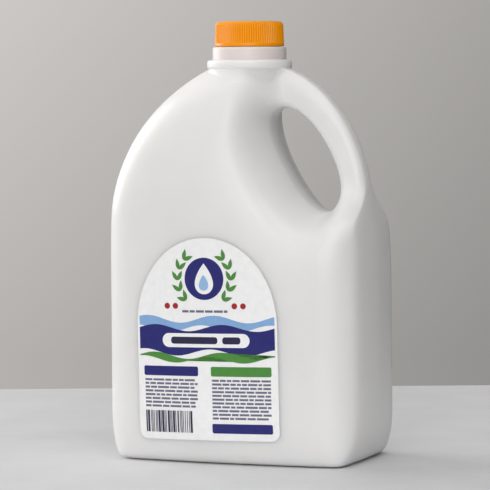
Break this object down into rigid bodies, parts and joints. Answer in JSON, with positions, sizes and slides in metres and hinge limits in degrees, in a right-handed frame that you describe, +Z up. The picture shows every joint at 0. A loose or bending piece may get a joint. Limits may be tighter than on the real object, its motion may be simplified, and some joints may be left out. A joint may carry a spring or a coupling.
{
  "type": "plastic milk jug",
  "caption": "Shut plastic milk jug with a rounded box body, an arched shoulder, a moulded side handle, a ribbed orange screw cap and an arch-topped front label.",
  "frame": {"origin": "centre of the base, on the surface that the jug stands on", "axes": "+X across the front towards the handle, -Y out of the labelled front, +Z up along the neck's axis"},
  "size_m": [0.1568, 0.0966, 0.2524],
  "materials": {
    "jug": "satin milky white blow-moulded plastic",
    "cap": "satin orange moulded plastic",
    "label": "thin printed film, satin gloss"
  },
  "bodies": {
    "root": {"jug": "jug", "cap": "cap", "label": "label"}
  },
  "joints": []
}
